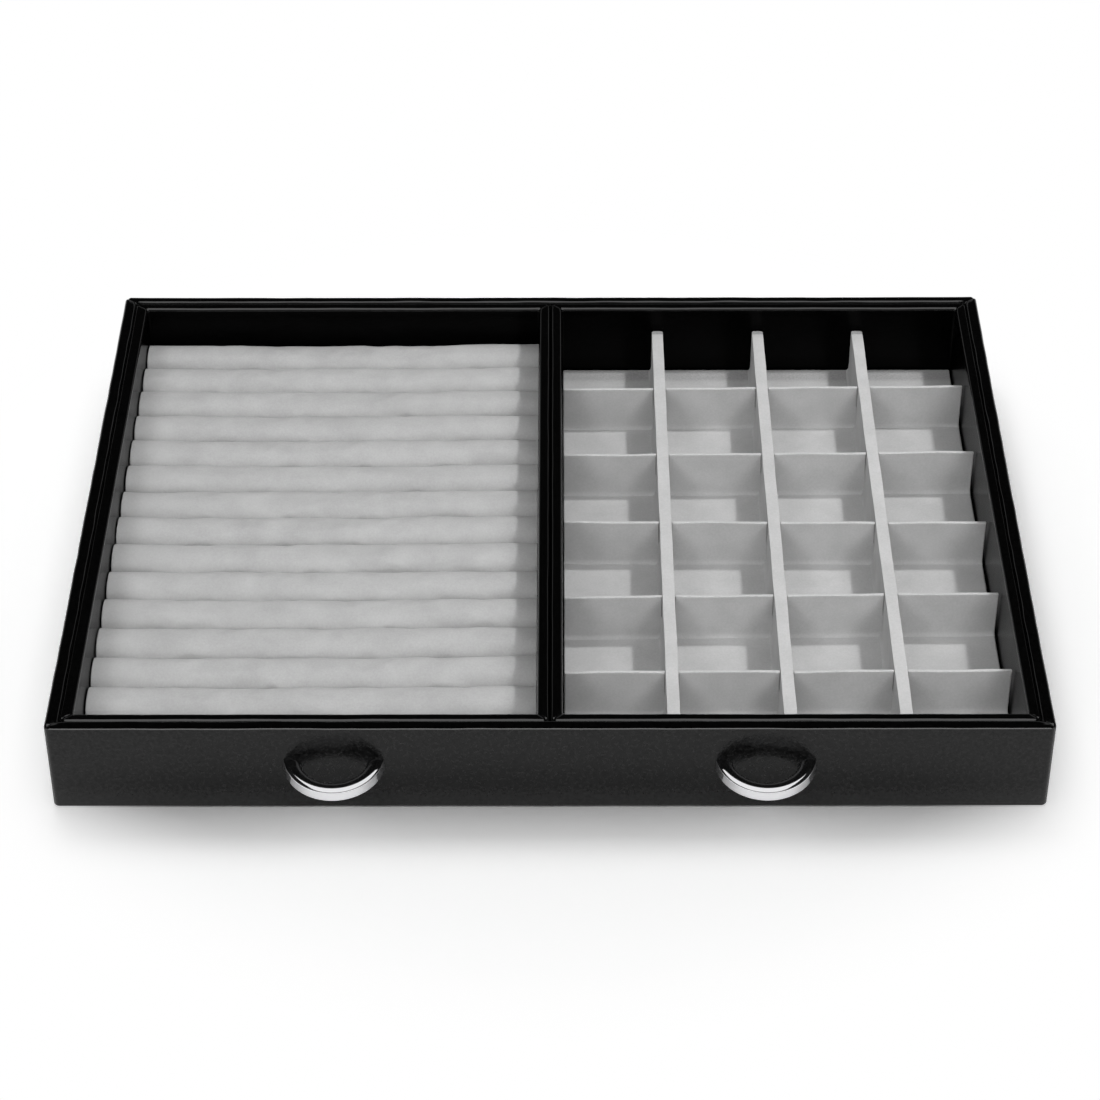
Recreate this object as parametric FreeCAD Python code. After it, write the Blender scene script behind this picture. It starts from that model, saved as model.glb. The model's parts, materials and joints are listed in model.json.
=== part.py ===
"""Leather-covered jewellery drawer with a roll pad for cufflinks and a divided grid tray.

Millimetres. X runs to the right, Y to the back and Z up. The origin is the middle of the
underside, so the front wall, with its two pulls, faces -Y.
Every solid is written to its own STEP file in parts/.
"""
import FreeCAD, Part
import os
from FreeCAD import Vector

# ---- outside of the drawer ----
drawer_width = 400.0        # over the leather, X
drawer_depth = 304.5        # over the leather, without the pulls, Y
drawer_height = 42.8        # rim above the surface that it stands on
corner_radius = 2.6         # upright outside corners

# ---- outer walls: a board wrapped in leather ----
leather = 0.8               # thickness of the leather everywhere
side_board = 3.8            # thickness of the left and right boards
end_board = 3.1             # thickness of the front and back boards
rim_radius = 1.2            # leather turning over a top edge
hem_width = 12.0            # leather turned under the bottom edge
hem_lift = 0.3              # hem above the surface, since the felt stands a little proud
brad_diameter = 1.2
brad_length = 16.0
brad_margin = 10.0          # lowest and highest brad from the board's edges

# ---- bottom ----
base_thickness = 3.6
felt_gap = 0.5              # between the felt and the hem around it

# ---- liner frames: one inside each half of the drawer ----
liner_board = 3.3
rim_step = 0.6              # top of the liner below the rim
liner_corner_radius = 2.5
liner_gap = 0.6             # between the two frames in the middle of the drawer

# ---- lift-out inserts ----
side_gap = 0.6              # insert to the liner, left and right
end_gap = 0.4               # insert to the liner, front and back
seat_gap = 0.1              # insert above the bottom panel
insert_board = 2.7          # covered board under the rolls and under the grid

# ---- roll pad ----
roll_count = 15
roll_margin = 0.7           # end rolls to the front and back edges of their board
roll_gap = 0.3              # slit that grips a cufflink's bar
roll_height = 19.7
roll_end_radius = 2.0       # rounding of a roll's upper end corners

# ---- grid tray ----
long_divider_count = 3
long_divider_thickness = 5.4
long_divider_height = 22.5
long_divider_rounding = 0.9
first_column_width = 41.1   # clear width of the cells beside the middle of the drawer
last_column_width = 43.4    # clear width of the cells beside the side wall
cross_divider_count = 5
back_row_depth = 46.6       # insert's back edge to the first cross divider's middle
front_row_depth = 39.9      # last cross divider's middle to the insert's front edge
cross_divider_thickness = 1.6
cross_divider_height = 22.0
cross_divider_rounding = 0.6
lap_clearance = 0.1         # in the half-lap slots

# ---- pulls ----
pull_spacing = 172.0        # between the middles of the two pulls
pull_level = 22.5           # middle of a pull's feet above the surface
pull_half_span = 16.8       # middle of a pull to the middle of its foot
pull_reach = 13.4           # front wall to the middle of the bow's section
pull_droop = 8.0            # degrees that the bow hangs below level
pull_width = 7.0            # section, along the radius
pull_height = 4.8           # section, upright
pull_rounding = 1.8
screw_diameter = 2.5
screw_engagement = 4.0      # thread inside the pull
screw_head_diameter = 4.8
screw_head_height = 1.5
screw_head_clearance = 0.15
screw_slot_width = 0.8
screw_slot_depth = 0.6

# ---- places worked out from the sizes above ----
half_width = drawer_width / 2
half_depth = drawer_depth / 2
side_wall = side_board + 2 * leather
end_wall = end_board + 2 * leather
liner_wall = liner_board + 2 * leather
board_bottom = hem_lift + leather
board_top = drawer_height - leather
base_top = board_bottom + base_thickness
liner_top = drawer_height - rim_step
liner_board_top = liner_top - leather
insert_bottom = base_top + seat_gap
insert_floor = insert_bottom + insert_board
bay_near = liner_gap / 2 + liner_wall             # inside face of a bay, beside the middle
bay_far = half_width - side_wall - liner_wall     # inside face of a bay, beside a side wall
bay_depth = half_depth - end_wall - liner_wall    # inside face of a bay, front and back
insert_near = bay_near + side_gap
insert_far = bay_far - side_gap
insert_depth = bay_depth - end_gap
roll_pitch = 2 * (insert_depth - roll_margin) / roll_count
front_face = -half_depth


def block(x_range, y_range, z_range):
    """A box between two values on each axis."""
    low = Vector(x_range[0], y_range[0], z_range[0])
    size = [high - start for start, high in (x_range, y_range, z_range)]
    return Part.makeBox(size[0], size[1], size[2], low)


def round_edges(solid, radius, wanted):
    """Fillet the edges whose end points all pass the test."""
    edges = [edge for edge in solid.Edges if wanted([vertex.Point for vertex in edge.Vertexes])]
    return solid.makeFillet(radius, edges)


def is_upright(points):
    """An edge that runs straight up."""
    return len(points) == 2 and abs(points[0].z - points[1].z) > 1 and (
        abs(points[0].x - points[1].x) < 0.01 and abs(points[0].y - points[1].y) < 0.01)


def at_height(level):
    """A test for edges that lie at one height."""
    return lambda points: all(abs(point.z - level) < 0.01 for point in points)


def rounded_block(x_range, y_range, z_range, radius):
    """A box with rounded upright corners."""
    return round_edges(block(x_range, y_range, z_range), radius, is_upright)


def prism(outline, z_range):
    """A straight prism on a list of plan points."""
    points = [Vector(x, y, z_range[0]) for x, y in outline]
    face = Part.Face(Part.makePolygon(points + points[:1]))
    return face.extrude(Vector(0, 0, z_range[1] - z_range[0]))


def save(name, solid):
    """Write one piece to its own file."""
    solid.exportStep("parts/" + name + ".step")


def mirrored_x(solid):
    """The same piece on the other side of the drawer."""
    return solid.mirror(Vector(0, 0, 0), Vector(1, 0, 0))


def mirrored_y(solid):
    """The same piece at the other end of the drawer."""
    return solid.mirror(Vector(0, 0, 0), Vector(0, 1, 0))


# ---- outer walls ----
def wall_section(thickness, place):
    """Leather around a wall board: outside, over the rim, down the inside, and the hem below.

    The section is drawn in distance in from the outside and height; place turns the two
    into a point.
    """
    bend = rim_radius * (1 - 0.5 ** 0.5)
    rim = drawer_height
    inner = thickness
    over = [
        Part.LineSegment(place(0, hem_lift), place(0, rim - rim_radius)),
        Part.Arc(place(0, rim - rim_radius), place(bend, rim - bend), place(rim_radius, rim)),
        Part.LineSegment(place(rim_radius, rim), place(inner - rim_radius, rim)),
        Part.Arc(place(inner - rim_radius, rim), place(inner - bend, rim - bend),
                 place(inner, rim - rim_radius)),
        Part.LineSegment(place(inner, rim - rim_radius), place(inner, base_top)),
    ]
    back = [
        (inner, base_top),
        (inner - leather, base_top),
        (inner - leather, board_top),
        (leather, board_top),
        (leather, board_bottom),
        (hem_width, board_bottom),
        (hem_width, hem_lift),
        (0, hem_lift),
    ]
    lines = [Part.LineSegment(place(*start), place(*end)) for start, end in zip(back, back[1:])]
    return Part.Face(Part.Wire([curve.toShape() for curve in over + lines]))


def corner_wedge():
    """Space of the front wall's leather: its ends follow the folds at the corners."""
    hem_side = side_wall + hem_width - end_wall
    fold = [
        (0, 0),
        (side_wall - leather, end_wall - leather),
        (side_wall, end_wall),
        (hem_side, hem_width),
    ]
    left = [(-half_width + across, -half_depth + inward) for across, inward in fold]
    right = [(-x, y) for x, y in reversed(left)]
    return prism(left + right, (hem_lift, drawer_height))


def outer_block():
    """Outside of the drawer, with its rounded upright corners."""
    return rounded_block((-half_width, half_width), (-half_depth, half_depth),
                         (hem_lift, drawer_height), corner_radius)


def end_leather():
    """Leather of the front wall, before its screw holes."""
    section = wall_section(end_wall, lambda depth, z: Vector(-half_width, -half_depth + depth, z))
    strip = section.extrude(Vector(drawer_width, 0, 0))
    return strip.common(corner_wedge()).common(outer_block())


def side_leather():
    """Leather of the left wall: what the two end pieces leave at the corners."""
    section = wall_section(side_wall, lambda depth, z: Vector(-half_width + depth, -half_depth, z))
    strip = section.extrude(Vector(0, drawer_depth, 0))
    front = corner_wedge()
    return strip.cut(front).cut(mirrored_y(front)).common(outer_block())


def brads():
    """Pins through the front and back boards into the ends of the side boards."""
    across = half_width - leather - side_board / 2
    outside = half_depth - leather
    pins = []
    for x in (-across, across):
        for z in (board_bottom + brad_margin, board_top - brad_margin):
            pins.append(Part.makeCylinder(brad_diameter / 2, brad_length,
                                          Vector(x, -outside, z), Vector(0, 1, 0)))
            pins.append(Part.makeCylinder(brad_diameter / 2, brad_length,
                                          Vector(x, outside, z), Vector(0, -1, 0)))
    return Part.makeCompound(pins)


def outer_boards(pins, holes):
    """Front, back, left and right boards, butted at the corners and pinned."""
    width = half_width - leather
    depth = half_depth - leather
    heights = (board_bottom, board_top)
    shell = rounded_block((-width, width), (-depth, depth), heights, corner_radius - leather)
    front = shell.common(block((-width, width), (-depth, -depth + end_board), heights))
    left = shell.common(block((-width, -width + side_board),
                              (-depth + end_board, depth - end_board), heights))
    front = front.cut(pins)
    left = left.cut(pins)
    save("front_board", front.cut(holes))
    save("back_board", mirrored_y(front))
    save("left_side_board", left)
    save("right_side_board", mirrored_x(left))


def bottom():
    """Panel between the wall boards, and the felt under it."""
    width = half_width - leather - side_board
    depth = half_depth - leather - end_board
    save("base_panel", block((-width, width), (-depth, depth), (board_bottom, base_top)))
    felt_width = half_width - hem_width - felt_gap
    felt_depth = half_depth - hem_width - felt_gap
    save("base_felt", block((-felt_width, felt_width), (-felt_depth, felt_depth), (0, board_bottom)))


# ---- liner frames ----
def liner_ring(inset, top):
    """The right liner frame, set in from its outside by a distance."""
    outer_x = (liner_gap / 2 + inset, half_width - side_wall - inset)
    outer_y = half_depth - end_wall - inset
    wall = liner_wall - 2 * inset
    outside = rounded_block(outer_x, (-outer_y, outer_y), (base_top, top),
                            liner_corner_radius - inset)
    bay = block((outer_x[0] + wall, outer_x[1] - wall), (-outer_y + wall, outer_y - wall),
                (base_top, top))
    return outside.cut(bay)


def liner_leather(cores):
    """Leather sleeve of the right frame: inside, over the top and down the outside."""
    ring = liner_ring(0, liner_top)
    rounded = round_edges(ring, rim_radius, at_height(liner_top))
    return rounded.cut(cores)


def liner_boards(cores, side, turn, holes):
    """Front, back, outer and inner boards of one frame, butted at the corners."""
    near = liner_gap / 2 + leather
    far = half_width - side_wall - leather
    depth = half_depth - end_wall - leather
    heights = (base_top, liner_board_top)
    ends = (-depth + liner_board, depth - liner_board)
    front = cores.common(block((near, far), (-depth, -depth + liner_board), heights))
    pieces = {
        "front": front,
        "back": mirrored_y(front),
        "outer": cores.common(block((far - liner_board, far), ends, heights)),
        "inner": cores.common(block((near, near + liner_board), ends, heights)),
    }
    for place, piece in pieces.items():
        save(side + "_liner_" + place + "_board", turn(piece).cut(holes))


# ---- inserts ----
def insert_base():
    """Covered board under the right insert."""
    return block((insert_near, insert_far), (-insert_depth, insert_depth),
                 (insert_bottom, insert_floor))


def roll_pad():
    """Row of half-round rolls on their board, on the left of the drawer."""
    save("roll_backing_board", mirrored_x(insert_base()))
    half = (roll_pitch - roll_gap) / 2
    top = insert_floor + roll_height
    shoulder = top - half
    for number in range(roll_count):
        middle = ((roll_count - 1) / 2 - number) * roll_pitch
        low_back = Vector(-insert_far, middle + half, insert_floor)
        back = Vector(-insert_far, middle + half, shoulder)
        crest = Vector(-insert_far, middle, top)
        front = Vector(-insert_far, middle - half, shoulder)
        low_front = Vector(-insert_far, middle - half, insert_floor)
        outline = Part.Wire([
            Part.LineSegment(low_front, low_back).toShape(),
            Part.LineSegment(low_back, back).toShape(),
            Part.Arc(back, crest, front).toShape(),
            Part.LineSegment(front, low_front).toShape(),
        ])
        roll = Part.Face(outline).extrude(Vector(insert_far - insert_near, 0, 0))
        save("cufflink_roll_%02d" % (number + 1), roll.common(roll_ends(half, middle, top)))


def roll_ends(half, middle, top):
    """Envelope of a roll, with its two upper end corners rounded."""
    envelope = block((-insert_far, -insert_near), (middle - half, middle + half),
                     (insert_floor, top))
    ends = (-insert_far, -insert_near)

    def upper_end(points):
        return at_height(top)(points) and any(
            all(abs(point.x - end) < 0.01 for point in points) for end in ends)
    return round_edges(envelope, roll_end_radius, upper_end)


def long_divider_middles():
    """X of the long dividers, counted from the middle of the drawer."""
    first = insert_near + first_column_width + long_divider_thickness / 2
    last = insert_far - last_column_width - long_divider_thickness / 2
    step = (last - first) / (long_divider_count - 1)
    return [first + step * number for number in range(long_divider_count)]


def cross_divider_middles():
    """Y of the cross dividers, counted from the back."""
    first = insert_depth - back_row_depth
    last = front_row_depth - insert_depth
    step = (last - first) / (cross_divider_count - 1)
    return [first + step * number for number in range(cross_divider_count)]


def grid_tray():
    """Long dividers slotted from below over cross dividers slotted from above."""
    save("grid_base_board", insert_base())
    lap = insert_floor + cross_divider_height / 2
    long_top = insert_floor + long_divider_height
    cross_top = insert_floor + cross_divider_height
    cross_slot = (cross_divider_thickness + lap_clearance) / 2
    long_slot = (long_divider_thickness + lap_clearance) / 2
    for number, x in enumerate(long_divider_middles()):
        half = long_divider_thickness / 2
        divider = block((x - half, x + half), (-insert_depth, insert_depth),
                        (insert_floor, long_top))
        divider = round_edges(divider, long_divider_rounding, at_height(long_top))
        for y in cross_divider_middles():
            slot = block((x - half, x + half), (y - cross_slot, y + cross_slot),
                         (insert_floor, lap))
            divider = divider.cut(slot)
        save("long_divider_%d" % (number + 1), divider)
    for number, y in enumerate(cross_divider_middles()):
        half = cross_divider_thickness / 2
        divider = block((insert_near, insert_far), (y - half, y + half),
                        (insert_floor, cross_top))
        divider = round_edges(divider, cross_divider_rounding, at_height(cross_top))
        for x in long_divider_middles():
            slot = block((x - long_slot, x + long_slot), (y - half, y + half),
                         (lap, cross_top))
            divider = divider.cut(slot)
        save("cross_divider_%d" % (number + 1), divider)


# ---- pulls ----
def pull_feet():
    """X of the four screws, the left pull's two first."""
    return [middle + side * pull_half_span for middle in (-pull_spacing / 2, pull_spacing / 2)
            for side in (-1, 1)]


def bow(middle):
    """A pull: an arc of rounded section from foot to foot, hanging a little below level.

    The arc's radius follows from its half span and its reach. It is turned past both feet and
    then cut off at the front wall.
    """
    radius = (pull_half_span ** 2 + pull_reach ** 2) / (2 * pull_reach)
    centre = Vector(middle, front_face + radius - pull_reach, pull_level)
    section = round_edges(
        block((centre.x + radius - pull_width / 2, centre.x + radius + pull_width / 2),
              (centre.y - 1, centre.y),
              (pull_level - pull_height / 2, pull_level + pull_height / 2)),
        pull_rounding, lambda points: len(points) == 2 and (
            abs(points[0].x - points[1].x) < 0.01 and abs(points[0].z - points[1].z) < 0.01))
    face = [side for side in section.Faces
            if all(abs(vertex.Point.y - centre.y) < 0.01 for vertex in side.Vertexes)][0]
    arc = face.revolve(centre, Vector(0, 0, 1), -180)
    arc.rotate(Vector(middle, front_face, pull_level), Vector(1, 0, 0), pull_droop)
    reach = radius + pull_width
    wall = block((middle - reach, middle + reach), (front_face, centre.y + reach),
                 (pull_level - reach, pull_level + reach))
    return arc.cut(wall)


def rod(x, start, end, diameter):
    """A round bar along Y at the pulls' height."""
    return Part.makeCylinder(diameter / 2, end - start, Vector(x, start, pull_level),
                             Vector(0, 1, 0))


def screw(x):
    """Slotted screw: its head bears on the inside of the front board."""
    seat = front_face + leather + end_board
    shank = rod(x, front_face - screw_engagement, seat, screw_diameter)
    head = rod(x, seat, seat + screw_head_height, screw_head_diameter)
    slot = block((x - screw_slot_width / 2, x + screw_slot_width / 2),
                 (seat + screw_head_height - screw_slot_depth, seat + screw_head_height),
                 (pull_level - screw_head_diameter, pull_level + screw_head_diameter))
    return shank.fuse(head).cut(slot)


def screw_holes():
    """Room for the screws in the front wall and in the liner behind it."""
    seat = front_face + leather + end_board
    head = screw_head_diameter + 2 * screw_head_clearance
    depth = seat + screw_head_height + screw_head_clearance
    holes = []
    for x in pull_feet():
        holes.append(rod(x, front_face, seat, screw_diameter))
        holes.append(rod(x, seat, depth, head))
    return Part.makeCompound(holes)


def pulls():
    """Two pulls and their screws, two screws to each."""
    feet = pull_feet()
    for side, middle, pair in (("left", -pull_spacing / 2, feet[:2]),
                               ("right", pull_spacing / 2, feet[2:])):
        handle = bow(middle)
        for x in pair:
            handle = handle.cut(
                rod(x, front_face - screw_engagement, front_face, screw_diameter))
        save(side + "_pull", handle)
        save(side + "_pull_screws", Part.makeCompound([screw(x) for x in pair]))


def main():
    os.makedirs("parts", exist_ok=True)
    holes = screw_holes()
    pins = brads()
    save("corner_brads", pins)
    outer_boards(pins, holes)
    bottom()

    front = end_leather()
    left = side_leather()
    save("front_leather", front.cut(holes))
    save("back_leather", mirrored_y(front))
    save("left_side_leather", left)
    save("right_side_leather", mirrored_x(left))

    cores = liner_ring(leather, liner_board_top)
    sleeve = liner_leather(cores)
    save("left_liner_leather", mirrored_x(sleeve).cut(holes))
    save("right_liner_leather", sleeve.cut(holes))
    liner_boards(cores, "left", mirrored_x, holes)
    liner_boards(cores, "right", lambda piece: piece, holes)

    roll_pad()
    grid_tray()
    pulls()


main()
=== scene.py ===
import bpy
import bmesh
import json
import numpy as np
from mathutils import Matrix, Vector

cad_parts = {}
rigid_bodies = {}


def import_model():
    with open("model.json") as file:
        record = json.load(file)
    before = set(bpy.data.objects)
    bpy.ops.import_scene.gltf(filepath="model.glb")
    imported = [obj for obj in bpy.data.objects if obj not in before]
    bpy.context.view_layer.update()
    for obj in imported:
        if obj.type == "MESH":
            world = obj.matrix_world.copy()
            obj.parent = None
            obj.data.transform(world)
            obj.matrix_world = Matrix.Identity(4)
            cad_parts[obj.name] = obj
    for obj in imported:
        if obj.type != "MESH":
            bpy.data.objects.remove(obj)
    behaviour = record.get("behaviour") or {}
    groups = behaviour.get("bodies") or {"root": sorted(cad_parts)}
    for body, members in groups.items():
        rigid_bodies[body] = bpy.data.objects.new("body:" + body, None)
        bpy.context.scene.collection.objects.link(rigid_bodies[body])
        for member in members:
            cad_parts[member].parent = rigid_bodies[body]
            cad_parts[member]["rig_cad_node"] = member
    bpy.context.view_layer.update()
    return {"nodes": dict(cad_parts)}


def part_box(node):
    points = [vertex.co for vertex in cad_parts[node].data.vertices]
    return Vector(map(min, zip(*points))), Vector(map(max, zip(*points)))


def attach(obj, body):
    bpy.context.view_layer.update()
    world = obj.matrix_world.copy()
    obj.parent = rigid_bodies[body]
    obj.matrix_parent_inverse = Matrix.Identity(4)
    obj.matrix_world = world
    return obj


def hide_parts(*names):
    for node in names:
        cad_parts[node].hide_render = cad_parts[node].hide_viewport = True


# Leather-covered jewellery drawer: leather over its walls, grey suede rolls and dividers inside,
# and two chromed pulls. Lengths are millimetres until they go into a mesh, lamp or camera, which
# are in metres. X runs to the right, Y to the back and Z up, and the front faces -Y.

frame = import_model()
scene = bpy.context.scene
scene.view_settings.view_transform = "Standard"


# ---- sizes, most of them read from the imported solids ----
def box_of(node):
    """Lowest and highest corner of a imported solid, in millimetres."""
    low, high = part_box(node)
    return np.array(low) * 1000, np.array(high) * 1000


front_low, front_high = box_of("front_leather")
liner_low, liner_high = box_of("right_liner_leather")
inner_low, inner_high = box_of("right_liner_inner_board")
board_low, board_high = box_of("front_board")

half_width, rim = -box_of("left_side_leather")[0][0], front_high[2]
half_depth = -front_low[1]
leather = rim - board_high[2]   # thickness of the leather
end_wall = board_high[1] - board_low[1] + 2 * leather
liner_wall = inner_high[0] - inner_low[0] + 2 * leather
side_wall = half_width - liner_high[0]
hem_level = front_low[2]
hem_width = front_high[1] - front_low[1]
wall_foot = liner_low[2]        # where leather meets the bottom panel
corner_radius = 2.6             # upright outside corners
rim_radius = 1.5                # leather turning over a top edge
hem_radius = 0.9                # leather turning under the bottom edge
liner_corner = 2.5              # upright outside corners of a liner
bay_corner = 1.3                # leather bunched in a bay's corners
fold_radius = 0.4               # inner side of an outer wall's corners
skin_slack = 0.2                # most that the skin stands off its board
roll_count = 15
pull_level = 22.5               # middle of a pull's feet
pull_half_span = 16.8           # middle of a pull to the middle of its foot
pull_reach = 13.4               # front wall to the middle of the bow's section
pull_droop = 8.0                # degrees below level
sharp_turn = 40.0               # degrees past which an edge is rounded
suede_nap = 0.9                 # size of the nap's flecks, drawn coarse
nowhere = 1e6                   # further off than any piece reaches


# ---- small tools ----
def linear(colour):
    """An sRGB hex colour as linear red, green, blue and alpha."""
    parts = np.array([int(colour[at:at + 2], 16) for at in (1, 3, 5)]) / 255
    parts = np.where(parts <= 0.04045, parts / 12.92, ((parts + 0.055) / 1.055) ** 2.4)
    return (*parts.tolist(), 1.0)


def sway(along, seed, reach, waves):
    """Smooth wander along a length: reach times the mean of sin(2 pi along / wave + phase)."""
    waves = np.array(waves, float)
    phases = np.random.default_rng(seed).uniform(0, 2 * np.pi, len(waves))
    turns = 2 * np.pi * np.asarray(along, float)[..., None] / waves + phases
    return reach * np.sin(turns).mean(-1) * len(waves) ** 0.5


def step_up(value, start, end):
    """0 before start, 1 after end, and 3t^2 - 2t^3 between."""
    t = np.clip((value - start) / (end - start), 0, 1)
    return t * t * (3 - 2 * t)


def quarter(centre, radius, start, end, count=6):
    """Arc in a section: centre + radius (cos a, sin a), with a in degrees."""
    angle = np.radians(np.linspace(start, end, count))
    return np.stack([centre[0] + radius * np.cos(angle), centre[1] + radius * np.sin(angle)], -1)


def run(start, end, spacing):
    """Straight part of a section: start + t (end - start), without its two ends."""
    start, end = np.array(start, float), np.array(end, float)
    count = max(2, int(np.ceil(np.linalg.norm(end - start) / spacing)) + 1)
    return start + np.linspace(0, 1, count)[1:-1, None] * (end - start)


def grid_faces(rows, columns, closed_rows=False, closed_columns=False):
    """Four-sided faces between the neighbours in a rows by columns grid of points."""
    row = np.arange(rows if closed_rows else rows - 1)[:, None]
    column = np.arange(columns if closed_columns else columns - 1)[None, :]
    below, beside = (row + 1) % rows, (column + 1) % columns
    corners = np.broadcast_arrays(row * columns + column, below * columns + column,
                                  below * columns + beside, row * columns + beside)
    return np.stack(corners, -1).reshape(-1, 4)


def points_of(mesh):
    """A mesh's points in millimetres, as rows."""
    co = np.empty(len(mesh.vertices) * 3)
    mesh.vertices.foreach_get("co", co)
    return co.reshape(-1, 3) * 1000


def add_piece(name, points, faces, material, body, slot, *nodes):
    """A piece from points in millimetres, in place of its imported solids."""
    mesh = bpy.data.meshes.new(name)
    mesh.from_pydata((np.reshape(points, (-1, 3)) / 1000).tolist(), [], faces.tolist())
    build = bmesh.new()
    build.from_mesh(mesh)
    bmesh.ops.remove_doubles(build, verts=build.verts, dist=1e-6)
    build.to_mesh(mesh)
    build.free()
    mesh.shade_smooth()
    mesh.materials.append(material)
    piece = bpy.data.objects.new(name, mesh)
    scene.collection.objects.link(piece)
    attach(piece, body)
    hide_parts(*nodes)
    return piece


def round_edges(piece, width, segments, method="ANGLE"):
    """Round a piece's sharp or weighted edges, and keep its flat faces flat in the light."""
    bevel = piece.modifiers.new("rounded edges", "BEVEL")
    bevel.width, bevel.segments = width / 1000, segments
    bevel.limit_method, bevel.angle_limit = method, np.radians(sharp_turn)
    bevel.use_clamp_overlap = True
    piece.modifiers.new("even light", "WEIGHTED_NORMAL").keep_sharp = True


def round_above(piece, width, level):
    """Round a piece's sharp edges over a level in millimetres, and keep its foot crisp.

    An edge is sharp where its two faces turn by more than sharp_turn.
    """
    mesh = piece.data
    edge, size = np.empty(len(mesh.loops), int), np.empty(len(mesh.polygons), int)
    facing, ends = np.empty(len(mesh.polygons) * 3), np.empty(len(mesh.edges) * 2, int)
    mesh.loops.foreach_get("edge_index", edge)
    mesh.polygons.foreach_get("loop_total", size)
    mesh.polygons.foreach_get("normal", facing)
    mesh.edges.foreach_get("vertices", ends)
    face = np.repeat(np.arange(len(size)), size)[np.argsort(edge, kind="stable")].reshape(-1, 2)
    facing = facing.reshape(-1, 3)
    turn = (facing[face[:, 0]] * facing[face[:, 1]]).sum(1)
    height = points_of(mesh)[ends.reshape(-1, 2)].mean(1)[:, 2]
    sharp, over = turn < np.cos(np.radians(sharp_turn)), height > level
    weight = mesh.attributes.new("bevel_weight_edge", "FLOAT", "EDGE")
    weight.data.foreach_set("value", (sharp & over).astype(float))
    crisp = mesh.attributes.new("sharp_edge", "BOOLEAN", "EDGE")
    crisp.data.foreach_set("value", sharp & ~over)
    round_edges(piece, width, segments=4, method="WEIGHT")


def add_node(tree, kind, inputs=None, **settings):
    """One shader node: settings are its own options, and inputs are values, or sockets to link.

    A node given as an input stands for its first output.
    """
    made = tree.nodes.new("ShaderNode" + kind)
    for option, value in settings.items():
        setattr(made, option, value)
    for key, value in (inputs or {}).items():
        if isinstance(value, bpy.types.Node):
            value = value.outputs[0]
        if isinstance(value, bpy.types.NodeSocket):
            tree.links.new(value, made.inputs[key])
        else:
            made.inputs[key].default_value = value
    return made


def new_material(name):
    """An empty node material, its tree, and each point's place on the piece, in metres."""
    material = bpy.data.materials.new(name)
    material.use_nodes = True
    tree = material.node_tree
    tree.nodes.clear()
    return material, tree, add_node(tree, "TexCoord").outputs["Object"]


# ---- finishes ----
def bonded_leather(name, gloss, dullest, glossiest, grain, dark, light, dusty=0.0):
    """Bonded leather: black polyurethane skin, rolled with a fine pebble and polished.

    The pigment is nearly black, so the eye reads the clear skin: soft mirror images, a little
    broken by the pebble, which is about 0.5 mm across and is drawn coarser so that it shows.
    gloss is how much of a polished skin's mirror image is left, dullest and glossiest are the
    roughness at its two ends, and grain is the pebble's relief in millimetres. The pigment goes
    from dark in the creases to light on the pebbles. The last argument sets how much pale grey is
    painted in near the hem: painted light, in place of a brighter reflection there.
    """
    pebble_size, crease_size, polish_patch = 1.1, 1.6, 45
    dust_height = 14
    material, tree, place = new_material(name)
    pebble = add_node(tree, "TexVoronoi", {"Vector": place, "Scale": 1000 / pebble_size},
                      feature="SMOOTH_F1").outputs["Distance"]
    creases = add_node(tree, "TexNoise", {"Vector": place, "Scale": 1000 / crease_size,
                       "Detail": 4.0, "Roughness": 0.7})
    broad = add_node(tree, "TexNoise", {"Vector": place, "Scale": 1000 / polish_patch,
                     "Detail": 2.0})
    height = add_node(tree, "Math", {0: pebble, 1: creases}, operation="ADD")
    bump = add_node(tree, "Bump", {"Height": height, "Strength": 0.5, "Distance": grain / 1000})
    worn = add_node(tree, "MapRange", {"Value": creases, "From Min": 0.36, "From Max": 0.64})
    tone = add_node(tree, "Mix", {0: worn, 6: linear(dark), 7: linear(light)},
                    data_type="RGBA").outputs[2]
    # Painted light: the tone turns pale grey towards the hem, standing in for a brighter reflection
    # there.
    if dusty:
        up = add_node(tree, "SeparateXYZ", {0: place}).outputs["Z"]
        dust = add_node(tree, "MapRange", {"Value": up, "From Min": dust_height / 1000,
                        "From Max": 0.0, "To Max": dusty}, interpolation_type="SMOOTHSTEP")
        tone = add_node(tree, "Mix", {0: dust, 6: tone, 7: linear("#6A6A6A")},
                        data_type="RGBA").outputs[2]
    rough = add_node(tree, "MapRange", {"Value": broad, "From Min": 0.3, "From Max": 0.7,
                     "To Min": glossiest, "To Max": dullest})
    skin = add_node(tree, "BsdfPrincipled", {"Base Color": tone, "Roughness": rough, "IOR": 1.5,
                    "Specular IOR Level": gloss, "Normal": bump})
    add_node(tree, "OutputMaterial", {"Surface": skin})
    return material


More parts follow.
